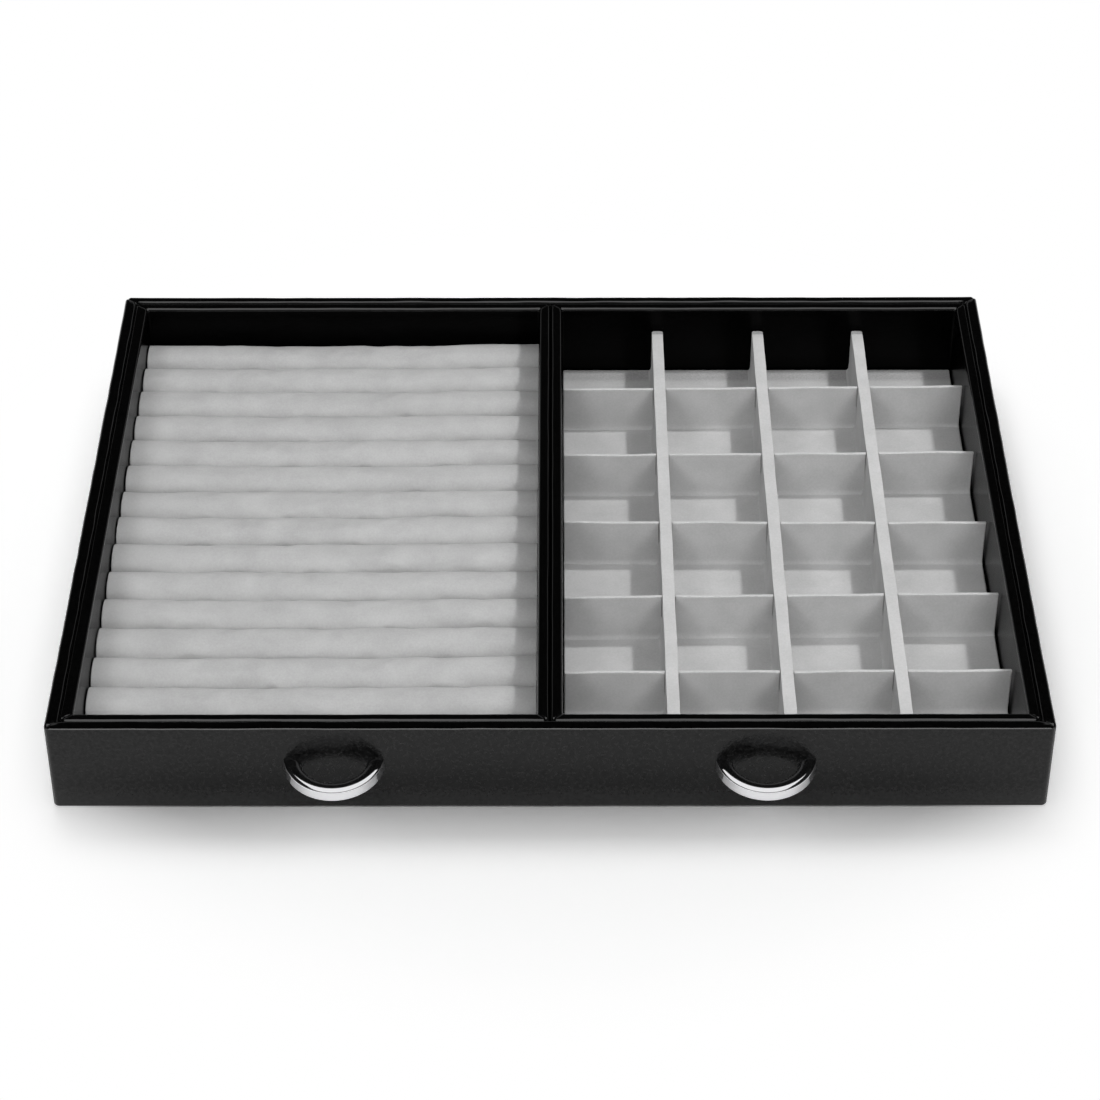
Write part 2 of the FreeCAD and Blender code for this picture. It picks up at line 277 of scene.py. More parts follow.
def microsuede(name, dark, light, fold=False, shade="#5E5E5E"):
    """Microsuede: brushed polyester nap, pale grey, with no gloss and a faint bloom at the edges.

    The nap lies in slightly different directions, which gives cloudy patches, and its flecks are
    about 0.2 mm, drawn at suede_nap. With fold, the piece's own attribute of painted shade marks
    where the cloth is painted darker, down to the colour shade: painted shade from the back wall on
    the floor and on the tucked-in ends of the long dividers.
    """
    patch_size, nap_depth = 14, 0.08
    material, tree, place = new_material(name)
    cloud = add_node(tree, "TexNoise", {"Vector": place, "Scale": 1000 / patch_size, "Detail": 2.5,
                     "Roughness": 0.55})
    nap = add_node(tree, "TexNoise", {"Vector": place, "Scale": 1000 / suede_nap, "Detail": 3.0,
                   "Roughness": 0.7})
    share = add_node(tree, "Math", {0: nap, 1: cloud}, operation="ADD")
    share = add_node(tree, "MapRange", {"Value": share, "From Min": 0.7, "From Max": 1.3})
    tone = add_node(tree, "Mix", {0: share, 6: linear(dark), 7: linear(light)},
                    data_type="RGBA").outputs[2]
    # Painted shade: where the attribute marks it, the nap is darkened towards shade, as the back
    # wall's shadow.
    if fold:
        tucked = add_node(tree, "Attribute", attribute_name="painted_shade").outputs["Fac"]
        shade_speckle = add_node(tree, "Mix", {0: nap, 6: linear(shade), 7: linear("#A8A8A8")},
                           data_type="RGBA").outputs[2]
        tone = add_node(tree, "Mix", {0: tucked, 6: tone, 7: shade_speckle}, data_type="RGBA").outputs[2]
    bump = add_node(tree, "Bump", {"Height": nap, "Strength": 0.3, "Distance": nap_depth / 1000})
    cloth = add_node(tree, "BsdfPrincipled", {"Base Color": tone, "Roughness": 0.95,
                     "Specular IOR Level": 0.15, "Sheen Weight": 0.12, "Sheen Roughness": 0.5,
                     "Normal": bump})
    add_node(tree, "OutputMaterial", {"Surface": cloth})
    return material


def polished_metal(name, colour, smooth, rough, grain):
    """Polished or plated metal: a bright mirror whose gloss varies a little with its marks.

    smooth and rough are the ends of its roughness, and grain is a mark's size in millimetres.
    """
    material, tree, place = new_material(name)
    marks = add_node(tree, "TexNoise", {"Vector": place, "Scale": 1000 / grain, "Detail": 3.0})
    gloss = add_node(tree, "MapRange", {"Value": marks, "From Min": 0.35, "From Max": 0.65,
                     "To Min": smooth, "To Max": rough})
    metal = add_node(tree, "BsdfPrincipled", {"Base Color": linear(colour), "Metallic": 1.0,
                     "Roughness": gloss})
    add_node(tree, "OutputMaterial", {"Surface": metal})
    return material


def fibreboard(name, dark, light):
    """Medium-density fibreboard: pressed wood fibres, matt, with flecks of 1 to 2 mm."""
    fleck_size, relief = 1.4, 0.1
    material, tree, place = new_material(name)
    fibres = add_node(tree, "TexNoise", {"Vector": place, "Scale": 1000 / fleck_size,
                      "Detail": 5.0, "Roughness": 0.7, "Distortion": 0.6})
    tone = add_node(tree, "Mix", {0: fibres, 6: linear(dark), 7: linear(light)},
                    data_type="RGBA").outputs[2]
    bump = add_node(tree, "Bump", {"Height": fibres, "Strength": 0.4, "Distance": relief / 1000})
    board = add_node(tree, "BsdfPrincipled", {"Base Color": tone, "Roughness": 0.8, "Normal": bump})
    add_node(tree, "OutputMaterial", {"Surface": board})
    return material


def pressed_felt(name):
    """Pressed wool felt: black, matted fibres that scatter light and give a soft bloom."""
    tuft_size, relief = 0.8, 0.2
    material, tree, place = new_material(name)
    matted = add_node(tree, "TexNoise", {"Vector": place, "Scale": 1000 / tuft_size, "Detail": 6.0,
                      "Roughness": 0.75, "Distortion": 1.2})
    tone = add_node(tree, "Mix", {0: matted, 6: linear("#141414"), 7: linear("#2C2C2C")},
                    data_type="RGBA").outputs[2]
    bump = add_node(tree, "Bump", {"Height": matted, "Strength": 0.7, "Distance": relief / 1000})
    wool = add_node(tree, "BsdfPrincipled", {"Base Color": tone, "Roughness": 1.0,
                    "Specular IOR Level": 0.1, "Sheen Weight": 0.3, "Normal": bump})
    add_node(tree, "OutputMaterial", {"Surface": wool})
    return material


# The wall leather is painted paler near its hem: painted light.
wall_skin = bonded_leather("bonded_leather_polished", gloss=0.25, dullest=0.24, glossiest=0.17,
                           grain=0.09, dark="#000000", light="#1A1A1A", dusty=0.1)
edge_skin = bonded_leather("bonded_leather_stretched", gloss=1.0, dullest=0.14, glossiest=0.09,
                           grain=0.045, dark="#000000", light="#030303")
bay_skin = bonded_leather("bonded_leather_matt", gloss=0.05, dullest=0.26, glossiest=0.2,
                          grain=0.012, dark="#000000", light="#020202")
roll_suede = microsuede("microsuede_rolls", "#9B9B9B", "#A9A9A9")
# The dividers and the boards can carry painted shade at the back (fold and shade).
card_suede = microsuede("microsuede_dividers", "#A4A4A4", "#B2B2B2", fold=True)
floor_suede = microsuede("microsuede_boards", "#A4A4A4", "#B2B2B2", fold=True, shade="#6A6A6A")
chrome = polished_metal("chromed_zinc", "#E4E4E6", smooth=0.03, rough=0.07, grain=4.0)
zinc_steel = polished_metal("zinc_plated_steel", "#A9ABB0", smooth=0.25, rough=0.4, grain=0.6)
bright_steel = polished_metal("drawn_steel_wire", "#8E9094", smooth=0.2, rough=0.35, grain=0.4)
board_core = fibreboard("fibreboard", "#8A6D4C", "#B7976E")
dyed_board = fibreboard("dyed_fibreboard", "#141312", "#242220")
felt = pressed_felt("pressed_felt")


# ---- leather over the walls ----
def side_of_loop(number, length, spacing=4.0):
    """One side of a rounded rectangle in plan, from the middle of a corner to the next one's.

    Gives for each place: the signs (wx, wy) of the corner centre that it hangs on, its angle
    about that centre, and w, which goes from -1 to 1 along the straight part.
    """
    steps = 5                                      # along each half corner
    facing = 1.5 * np.pi + number * np.pi / 2
    bend = np.linspace(0, np.pi / 4, steps + 1)
    straight = np.linspace(-1, 1, int(length / spacing) + 1)
    w = np.concatenate([-np.ones(steps), straight, np.ones(steps)])
    angle = np.concatenate([facing - bend[:0:-1], np.full(len(straight), facing),
                            facing + bend[1:]])
    wx = w * -np.sin(facing) + np.cos(facing)
    wy = w * np.cos(facing) + np.sin(facing)
    return wx, wy, angle, w


def plan_points(side, half_x, half_y, radius, centre_x=0.0):
    """Rounded rectangle in plan, one for each point of a section.

    x = centre + wx (half_x - radius) + radius cos(angle), and
    y = wy (half_y - radius) + radius sin(angle).
    """
    wx, wy, angle = (part[:, None] for part in side[:3])
    x = centre_x + wx * (half_x - radius) + radius * np.cos(angle)
    y = wy * (half_y - radius) + radius * np.sin(angle)
    return x, y


def over_top(wall, top, spacing):
    """Section over a wall's top and down its inner side, as (distance in, height)."""
    return np.concatenate([
        quarter((rim_radius, top - rim_radius), rim_radius, 180, 90, 8),
        run((rim_radius, top), (wall - rim_radius, top), 0.6),
        quarter((wall - rim_radius, top - rim_radius), rim_radius, 90, 0, 8),
        run((wall, top - rim_radius), (wall, wall_foot), spacing),
        [(wall, wall_foot)],
    ])


def wall_section():
    """Section of the leather round an outer wall: hem, outside, rim and inside."""
    return np.concatenate([
        [(hem_width, hem_level)],
        run((hem_width, hem_level), (hem_radius, hem_level), 3.0),
        quarter((hem_radius, hem_level + hem_radius), hem_radius, 270, 180),
        run((0, hem_level + hem_radius), (0, rim - rim_radius), 4.0),
        over_top(end_wall, rim, 6.0),
    ])


def add_leather(name, points, section, node, bay_side=None):
    """A sheet of leather from its section's points, stretched over the top and matt in the bay.

    The skin is stretched where the section's steps lean less than 82 degrees from level. A
    sheet with a bay side goes all round its bay. Its thickness goes inwards.
    """
    top_zone, steepest, bay_depth = 1.6, 82, 0.5
    faces = grid_faces(*points.shape[:2], closed_rows=bay_side is not None)
    piece = add_piece(name, points, faces, wall_skin, "drawer", "black_leather", node)
    step, middle = np.diff(section, axis=0), (section[1:] + section[:-1]) / 2
    lean = np.degrees(np.arctan2(np.abs(step[:, 1]), np.abs(step[:, 0])))
    near_top = middle[:, 1] > section[:, 1].max() - top_zone
    marks = (near_top & (lean < steepest)).astype(np.int32)
    if bay_side is not None:
        marks[(middle[:, 0] > bay_side - bay_depth) & ~near_top] = 2
    piece.data.materials.append(edge_skin)
    piece.data.materials.append(bay_skin)
    piece.data.polygons.foreach_set("material_index", np.tile(marks, len(faces) // len(marks)))
    shell = piece.modifiers.new("leather thickness", "SOLIDIFY")
    shell.thickness, shell.offset = leather / 1000, -1.0
    shell.use_even_offset = True
    return piece


def sinking(height, top):
    """Share of a top's sinking and dips that a height takes: 0 at 2.5 mm under it, 1 at 0.6 mm."""
    return step_up(height, top - 2.5, top - 0.6)


def fold_dip(to_fold, depth, width, ridge, beside, ridge_width):
    """How far leather dips at a fold, d away: depth exp(-(d / width)^2), less a ridge beside it."""
    return (depth * np.exp(-(to_fold / width) ** 2)
            - ridge * np.exp(-((to_fold - beside) / ridge_width) ** 2))


def wall_leather(name, number, node):
    """Leather of one wall: the wall's section carried from corner fold to corner fold.

    The walls are numbered round from the front. The distance in grows by a soft wander of up to
    skin_slack, so that the skin isn't dead flat, the inner edge of the rim wanders by 0.2 mm
    either way, the rim sinks by up to 0.17 mm, and at the folds it dips by 0.4 mm.
    """
    section = wall_section()
    inward, height = section[None, :, 0], section[None, :, 1]
    half_length = half_width if number % 2 == 0 else half_depth
    side = side_of_loop(number, 2 * half_length)
    w = side[3][:, None]
    along = w * half_length
    seed = 40 + 7 * number
    calm = 1 - w ** 8
    slack = 0.1 + sway(along + 0.35 * height, seed, 0.05, (61, 37, 23)) + sway(
        along - 0.8 * height, seed + 1, 0.04, (17, 90))
    inward = inward + calm * np.clip(slack, 0, skin_slack) * step_up(end_wall - inward, 0, 0.6)
    inward = inward - calm * sway(along, seed + 2, 0.12, (19, 31, 55)) * step_up(
        height, rim - 4, rim - 1) * step_up(inward, 1.5, end_wall)
    across = inward + (side_wall - end_wall) * np.clip(inward / end_wall, 0, 1)
    radius = np.maximum(corner_radius - inward, fold_radius)
    half_x, half_y = half_width - across, half_depth - inward
    x, y = plan_points(side, half_x, half_y, radius)
    half_along = half_x if number % 2 == 0 else half_y
    bend = np.abs(side[2][:, None] - (1.5 + number / 2) * np.pi)
    to_fold = (1 - np.abs(w)) * (half_along - radius) + radius * (np.pi / 4 - bend)
    dip = fold_dip(to_fold, 0.4, 0.7, 0.05, 1.9, 0.8)
    sink = calm * (0.08 + sway(along, seed + 3, 0.05, (29, 47, 83)))
    z = height - sinking(height, rim) * (dip + sink)
    points = np.stack(np.broadcast_arrays(x, y, z), -1)
    return add_leather(name, points, section, node)


def liner_leather(name, node):
    """Leather sleeve of one liner: its section carried round the whole frame.

    The outside and the bay's side each wander by up to skin_slack, so the groove isn't ruled. The
    leather is gathered at the four corners, where the top dips by 0.25 mm on the diagonal. The
    left wall of the left liner is thicker than the others.
    """
    thicker = 0.7
    low, high = box_of(node)
    top = high[2]
    centre_x = (low[0] + high[0]) / 2
    section = np.concatenate([[(0, wall_foot)],
                              run((0, wall_foot), (0, top - rim_radius), 6.0),
                              over_top(liner_wall, top, 4.0)])
    inward, height = section[None, :, 0], section[None, :, 1]
    half = ((high[0] - low[0]) / 2, (high[1] - low[1]) / 2)
    sides, seed = [], int(200 + centre_x)
    for number in range(4):
        wx, wy, angle, w = side_of_loop(number, 2 * half[number % 2])
        sides.append(np.stack([wx, wy, angle, w, w * half[number % 2] + 500 * number])[:, :-1])
    side = np.concatenate(sides, 1)
    w, along = side[3][:, None], side[4][:, None]
    calm = 1 - np.abs(w) ** 10
    at_rim = step_up(height, top - 5, top - 1)
    slack = np.clip(0.08 + sway(along, seed, 0.07, (23, 41, 67, 140)), 0, skin_slack)
    inward = inward + calm * slack * at_rim * step_up(liner_wall - inward, 0.5, liner_wall)
    bulge = np.clip(0.1 + sway(along + height, seed + 1, 0.06, (33, 71)), 0, skin_slack)
    inward = inward - calm * bulge * step_up(inward, liner_wall - 1, liner_wall) * (1 - at_rim)
    radius = np.maximum(liner_corner - inward, bay_corner)
    x, y = plan_points(side, half[0] - inward, half[1] - inward, radius, centre_x)
    if centre_x < 0:
        at_left = step_up(centre_x - x, half[0] * 0.5, half[0] * 0.9)
        x = x + thicker * at_left * step_up(inward, 2, liner_wall - 1)
    of_side = np.repeat(np.arange(4), [part.shape[1] for part in sides])
    half_along = np.where(of_side % 2 == 0, half[0], half[1])[:, None]
    bend = np.abs(side[2] - (1.5 * np.pi + of_side * np.pi / 2))[:, None]
    to_fold = (1 - np.abs(w)) * (half_along - inward - radius) + radius * (np.pi / 4 - bend)
    dip = fold_dip(to_fold, 0.25, 0.6, 0.04, 1.7, 0.7)
    sink = calm * (0.06 + sway(along, seed + 3, 0.06, (27, 53, 95)))
    z = height - sinking(height, top) * (dip + sink)
    points = np.stack(np.broadcast_arrays(x, y, z), -1)
    add_leather(name, points, section, node, bay_side=liner_wall)


front_wall = wall_leather("front_wall_leather", 0, "front_leather")
wall_leather("right_wall_leather", 1, "right_side_leather")
wall_leather("back_wall_leather", 2, "back_leather")
wall_leather("left_wall_leather", 3, "left_side_leather")
liner_leather("left_bay_leather", "left_liner_leather")
liner_leather("right_bay_leather", "right_liner_leather")


# ---- covered boards and felt ----
def covered_board(name, node, material, body, slot, rounding, undulation, spacing=5.0):
    """A flat board in its cover: its top, then its thickness downwards.

    The top lies a little below the solid's, and level with it all round the edge: z = high -
    (1.4 undulation + two soft waves), faded in over the edge zone.
    """
    edge_zone = 8.0
    low, high = box_of(node)
    x = np.linspace(low[0], high[0], int((high[0] - low[0]) / spacing) + 1)[:, None]
    y = np.linspace(low[1], high[1], int((high[1] - low[1]) / spacing) + 1)[None, :]
    inside = np.minimum(np.minimum(x - low[0], high[0] - x), np.minimum(y - low[1], high[1] - y))
    swell = (sway(x + 0.6 * y, 3, undulation, (43, 71))
             + sway(y - 0.4 * x, 4, undulation, (37, 95)))
    z = high[2] - np.clip(undulation * 1.4 + swell, 0, None) * step_up(inside, 0, edge_zone)
    points = np.stack(np.broadcast_arrays(x, y, z), -1)
    piece = add_piece(name, points, grid_faces(*points.shape[:2]), material, body, slot, node)
    thick = piece.modifiers.new("board thickness", "SOLIDIFY")
    thick.thickness, thick.offset = (high[2] - low[2]) / 1000, -1.0
    round_edges(piece, rounding, segments=3)
    return piece


grid_floor = covered_board("grid_floor", "grid_base_board", floor_suede, "grid_tray",
                           "covered_board", rounding=0.6, undulation=0.05, spacing=2.5)
covered_board("roll_pad_board", "roll_backing_board", floor_suede, "roll_pad", "covered_board",
              rounding=0.6, undulation=0.05)
covered_board("underside_felt", "base_felt", felt, "drawer", "black_felt", rounding=0.4,
              undulation=0.0)


# ---- rolls ----
def roll_section(half, tall, count=44):
    """Section of a roll, evenly spaced, starting under the middle: flat foot, sides and a crown.

    The crown is z = shoulder + (tall - shoulder) (1 - |y / half|^power)^(1 / power).
    """
    power, foot = 2.7, 0.8
    shoulder = tall - half * 0.86                  # the crown is a little lower than round
    y = half * np.sin(np.linspace(-np.pi / 2, np.pi / 2, 161))
    rise = (1 - np.abs(y / half) ** power) ** (1 / power)
    crown = np.stack([y, shoulder + (tall - shoulder) * rise], -1)
    line = np.concatenate([
        [(0, 0)],
        quarter((foot - half, foot), foot, 270, 180, 6),
        crown,
        quarter((half - foot, foot), foot, 0, -90, 6),
        [(0, 0)],
    ])
    reach = np.concatenate([[0], np.cumsum(np.linalg.norm(np.diff(line, axis=0), axis=1))])
    even = np.linspace(0, reach[-1], count + 1)[:-1]
    return np.interp(even, reach, line[:, 0]), np.interp(even, reach, line[:, 1])


def roll_border(x, number):
    """Wander of the slit behind a roll: up to 0.4 mm, and none at the ends of the pad."""
    calm = 0.0 if number in (0, roll_count) else 1.0
    return calm * sway(x, 300 + number, 0.24, (34, 71, 128))


def roll_points(low, high, number):
    """A roll's surface, closed at both ends.

    Rings of the section stand along X. Near an end they shrink as a quarter circle of radius r,
    k = 1 - (r / half)(1 - sin a), and then close over the end. The crest is full at the left
    end, sags a little in the middle and rises again to the right: it is raised by
    0.55 exp(-place / 13) - 0.35 + 1.1 share^4 mm and a soft wander.
    """
    slit, headroom = 0.1, 1.5                      # beside the roll, and over its plain section
    half, tall = (high[1] - low[1]) / 2 - slit, high[2] - low[2] - headroom
    y0, z0 = roll_section(half, tall)
    rounding, centre, steps = 0.5, tall / 2, 5
    bend = np.linspace(0, np.pi / 2, steps)
    start, end = low[0] + 0.6, high[0] + 0.3       # the right end presses on the bay's wall
    length = end - start
    end_out = rounding * (1 - np.cos(bend))
    near_end = rounding + np.array([0, 0.4, 1.2])
    middle = np.concatenate([near_end, np.linspace(3, length - 3, int(length / 2.6)),
                             length - near_end[::-1]])
    close = np.linspace(0, 1, steps + 1)[:-1]
    place = np.concatenate([np.zeros(steps), end_out, middle[1:-1], length - end_out[::-1],
                            np.full(steps, length)])
    shrink = rounding * (1 - np.sin(bend))
    inset = np.concatenate([half + (shrink[0] - half) * close, shrink,
                            np.zeros(len(middle) - 2), shrink[::-1],
                            (half + (shrink[0] - half) * close)[::-1]])
    keep = (1 - inset / half)[:, None]
    x = (start + place)[:, None]
    share = (place / length)[:, None]
    crest = (0.55 * np.exp(-place / 13)[:, None] - 0.35 + 1.1 * share ** 4
             + sway(place[:, None] + 17 * number, 500 + number, 0.1, (43, 64, 115)))
    z = centre + (z0[None, :] - centre) * keep
    z = z * (1 + crest * step_up(z, 3, tall) / tall)
    behind, before = roll_border(x, number), roll_border(x, number + 1)
    middle_y = (low[1] + high[1]) / 2 + (behind + before) / 2
    y = middle_y + y0[None, :] * keep * (1 + (behind - before) / (2 * half))
    return np.stack(np.broadcast_arrays(x, y, z + low[2]), -1)


def swell(pieces, boxes, cap=0.6):
    """Let the suede covers swell over their foam in a short cloth run.

    The glued foot is held. Each point keeps within cap of its start, and within its own slot in
    the row, so neighbours press flat on each other: it moves by cap tanh(move / cap).
    """
    foot, frames = 1.2, 20
    past_side, past_end, past_top = 0.08, 0.25, 1.2
    for piece in pieces:
        level = points_of(piece.data)[:, 2]
        glued = piece.vertex_groups.new(name="glued")
        glued.add(np.flatnonzero(level < level.min() + foot).tolist(), 1.0, "REPLACE")
        cloth = piece.modifiers.new("suede over foam", "CLOTH").settings
        cloth.quality = 5
        cloth.mass = 0.15
        cloth.tension_stiffness = cloth.compression_stiffness = 12
        cloth.bending_stiffness = 0.4
        cloth.use_pressure = True
        cloth.uniform_pressure_force = 3.0
        cloth.shrink_min = -0.012
        cloth.vertex_group_mass = "glued"
        cloth.effector_weights.gravity = 0
    for number in range(1, frames + 1):
        scene.frame_set(number)
    graph = bpy.context.evaluated_depsgraph_get()
    for piece, (low, high) in zip(pieces, boxes):
        shown = piece.evaluated_get(graph)
        start, after = points_of(piece.data), points_of(shown.to_mesh())
        shown.to_mesh_clear()
        move = after - start
        size = np.linalg.norm(move, axis=1, keepdims=True)
        soft = start + move * np.minimum(1, cap * np.tanh(size / cap) / np.maximum(size, 1e-6))
        middle = (low[1] + high[1]) / 2
        reach = (high[1] - low[1]) / 2 + past_side
        lean = soft[:, 1] - middle
        most = np.maximum(reach, np.abs(start[:, 1] - middle))
        soft[:, 1] = middle + np.sign(lean) * np.minimum(np.abs(lean), most)
        soft[:, 0] = np.clip(soft[:, 0], low[0] - past_end, high[0] + past_end)
        soft[:, 2] = np.clip(soft[:, 2], low[2], high[2] + past_top)
        piece.modifiers.remove(piece.modifiers["suede over foam"])
        piece.data.vertices.foreach_set("co", (soft / 1000).ravel())
        piece.data.update()
    scene.frame_set(1)


roll_nodes = ["cufflink_roll_%02d" % (number + 1) for number in range(roll_count)]
roll_boxes = [box_of(node) for node in roll_nodes]
rolls = []
for number, node in enumerate(roll_nodes):
    points = roll_points(*roll_boxes[number], number)
    faces = grid_faces(*points.shape[:2], closed_columns=True)
    rolls.append(add_piece("suede_roll_%02d" % (number + 1), points, faces, roll_suede,
                           "roll_pad", "suede_roll", node))
swell(rolls, roll_boxes)
for roll in rolls:
    smooth = roll.modifiers.new("finer suede", "SUBSURF")
    smooth.levels = smooth.render_levels = 1


# ---- dividers ----
def notched_plate(along, height, filled):
    """Faces of an upright plate with notches, on two grids of along by height points.

    filled says which cells hold card. The first grid is the side at -thickness / 2 and the
    second the other. Where a filled cell meets an empty one, a face crosses the thickness.
    """
    rows, columns = len(along), len(height)
    index = np.arange(2 * rows * columns).reshape(2, rows, columns)
    padded = np.pad(filled, 1)
    cell = np.argwhere(filled)
    i, j = cell[:, 0], cell[:, 1]
    near = np.stack([index[0, i, j], index[0, i + 1, j], index[0, i + 1, j + 1],
                     index[0, i, j + 1]], -1)
    faces = [near, (near + rows * columns)[:, ::-1]]
    walls = (
        ((0, 1), (0, 0), (0, 1), False),
        ((2, 1), (1, 0), (1, 1), True),
        ((1, 0), (0, 0), (1, 0), True),
        ((1, 2), (0, 1), (1, 1), False),
    )
    for beside, first, second, turned in walls:
        edge = ~padded[i + beside[0], j + beside[1]]
        a = index[0, i[edge] + first[0], j[edge] + first[1]]
        b = index[0, i[edge] + second[0], j[edge] + second[1]]
        wall = np.stack([a, b, b + rows * columns, a + rows * columns], -1)
        faces.append(wall[:, ::-1] if turned else wall)
    faces = np.concatenate(faces)
    used, compact = np.unique(faces, return_inverse=True)
    return used, compact.reshape(faces.shape)


def levels_between(stops, spacing):
    """Values that include every stop, with even steps of at most spacing between them."""
    stops = np.unique(np.round(stops, 4))
    parts = [np.linspace(a, b, max(2, int(np.ceil((b - a) / spacing)) + 1))[:-1]
             for a, b in zip(stops, stops[1:])]
    return np.concatenate(parts + [stops[-1:]])


def long_shift(number, y):
    """How far a long divider was set to the right of its place, in mm, at y."""
    share = (y - grid_low[1]) / (grid_high[1] - grid_low[1])
    return (0.2, 0.5, 0.5)[number] + 0.3 * share


def cross_shift(number, x):
    """How far a cross divider was set behind its place, in mm, at x: they aren't square.

    It goes evenly from its left value, 16 mm in from the grid's edge, to its right value 140 mm on.
    """
    share = (x - grid_low[0] - 16) / 140
    left, right = ((0.3, 1.8), (-0.7, 0.8), (0.0, -0.5), (-1.6, 0.0), (-0.7, 0.1))[number]
    return left + (right - left) * share


def slotted_card(low, high, stops, slots, lap, from_below):
    """An upright card with half-lap slots, as grids to shape.

    The slots run from the foot up to lap, or from lap up to the top. Gives the points in use and
    the faces between them, then for each point its place s along the card, its level z, its side
    (-1 or 1) and its share of the height.
    """
    along = levels_between([*stops, *slots.ravel()], 3.5)
    height = levels_between([*(low[2] + np.array([0, 0.25, 0.6, 1.1, 1.8, 3.0])), lap, high[2]],
                            3.0)
    centre = (along[1:] + along[:-1]) / 2
    slotted = ((centre[:, None] > slots[:, 0]) & (centre[:, None] < slots[:, 1])).any(1)
    level = (height[1:] + height[:-1]) / 2
    open_level = level < lap if from_below else level > lap
    cut = notched_plate(along, height, ~(slotted[:, None] & open_level[None, :]))
    s, z = along[None, :, None], height[None, None, :]
    side = np.array([-1.0, 1.0])[:, None, None]
    return cut, s, z, side, (z - low[2]) / (high[2] - low[2])


def cove(above):
    """How far the cloth spreads on the floor at a height above it: 1.3 exp(-h / 0.8) mm."""
    return 1.3 * np.exp(-above / 0.8)


def foot_press(above):
    """How far the cloth at a height above the floor presses into it: 0.15 exp(-h / 0.3) mm."""
    return 0.15 * np.exp(-above / 0.3)


def mark_painted_shade(piece, from_y, from_z, ramp=1e-3, most=1.0):
    """Write the "painted_shade" attribute: most behind from_y and over from_z, and 0 elsewhere.

    It marks painted shade at the back: the back wall's shadow on the floor, and its rim's shade on
    the far ends of the long dividers.
    """
    place = points_of(piece.data)
    marked = most * step_up(place[:, 1], from_y - ramp, from_y + ramp) * (place[:, 2] > from_z)
    piece.data.attributes.new("painted_shade", "FLOAT", "POINT").data.foreach_set("value", marked)


def add_card(name, node, cut, shape, rounding, painted_shade_from=(nowhere, nowhere)):
    """A divider's piece from its cut card and shaped x, y and z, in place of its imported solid.

    Its edges are rounded, apart from those within 0.2 mm of the floor.
    """
    used, faces = cut
    points = np.stack(np.broadcast_arrays(*shape), -1).reshape(-1, 3)[used]
    piece = add_piece(name, points, faces, card_suede, "grid_tray", "suede_divider", node)
    mark_painted_shade(piece, *painted_shade_from)
    round_above(piece, rounding, box_of(node)[0][2] + 0.2)


def long_divider(number, crossings):
    """A long divider: suede over stiff card, slotted from below over the cross dividers.

    It stands straight to within 0.1 mm, its cloth spreads into a cove on the floor, its back end
    narrows by 0.9 t^2 mm on each side over the last 1.2 mm, and the last 3 mm of the top step
    down by 0.25 mm where the cloth is tucked in, and there its top is painted darker as painted
    shade of the back wall's rim.
    """
    half_slot, narrowing, tuck = 0.85, 1.2, 3.0
    node = "long_divider_%d" % (number + 1)
    low, high = box_of(node)
    middle, half = (low[0] + high[0]) / 2, (high[0] - low[0]) / 2 - 0.1
    lap = low[2] + (box_of("cross_divider_1")[1][2] - low[2]) / 2
    slots = np.array([y + cross_shift(row, middle) + np.array([-half_slot, half_slot])
                      for row, y in enumerate(crossings)])
    stops = [low[1], *(high[1] - np.array([tuck + 0.2, tuck, narrowing, 0.8, 0.4, 0]))]
    cut, s, z, side, lift = slotted_card(low, high, stops, slots, lap, from_below=True)
    lean = np.concatenate([sway(s, 700 + 3 * number, 0.06, (34, 60)),
                           sway(s, 701 + 3 * number, 0.06, (39, 70))])
    end = np.clip((s - high[1] + narrowing) / narrowing, 0, 1)
    off = side * (half + (cove(z - low[2]) - 0.9 * end ** 2)) + lean * lift
    tucked = (step_up(s, high[1] - tuck - 0.2, high[1] - tuck)
              * step_up(z, high[2] - 1.5, high[2]))
    top = sway(s, 720 + number, 0.08, (45, 90)) * lift ** 4 - 0.25 * tucked
    top = top - foot_press(z - low[2])
    shape = middle + long_shift(number, s) - off, s, z + top
    # The far end's top is painted darker from here on: painted shade of the back wall's rim.
    add_card("long_card_%d" % (number + 1), node, cut, shape, 0.9,
             (high[1] - tuck - 0.1, high[2] - 2.0))


def cross_divider(number, middles):
    """A cross divider: thin suede-covered card, slotted from above under the long dividers.

    It bows by up to 0.3 mm between the long dividers, its top edge rises and falls by up to
    0.2 mm, and its cloth spreads into a cove on the floor.
    """
    half_slot = 2.75
    node = "cross_divider_%d" % (number + 1)
    low, high = box_of(node)
    middle, half = (low[1] + high[1]) / 2, (high[1] - low[1]) / 2
    lap = low[2] + (high[2] - low[2]) / 2
    slots = np.array([x + long_shift(card, middle) + np.array([-half_slot, half_slot])
                      for card, x in enumerate(middles)])
    cut, s, z, side, lift = slotted_card(low, high, [low[0], high[0]], slots, lap,
                                         from_below=False)
    bow = sway(s, 800 + number, 0.16, (52, 88, 180)) * (0.35 + 0.65 * lift)
    top = sway(s, 830 + number, 0.13, (31, 57)) * lift ** 3
    top = top - foot_press(z - low[2])
    off = side * (half + cove(z - low[2])) + bow + cross_shift(number, s)
    add_card("cross_card_%d" % (number + 1), node, cut, (s, middle + off, z + top), 0.55)


grid_low, grid_high = box_of("grid_base_board")
back_shade_band = 9.5                                 # painted shadow of the back wall across the floor's back row
# Painted shadow: the floor's back 9.5 mm is darkened, as the back wall's shadow across the back
# row.
mark_painted_shade(grid_floor, grid_high[1] - back_shade_band, grid_low[2], ramp=1.5, most=0.75)
long_middles = [np.mean(box_of("long_divider_%d" % n), 0)[0] for n in (1, 2, 3)]
cross_middles = [np.mean(box_of("cross_divider_%d" % n), 0)[1] for n in (1, 2, 3, 4, 5)]
for number in range(len(long_middles)):
    long_divider(number, cross_middles)
for number in range(len(cross_middles)):
    cross_divider(number, long_middles)


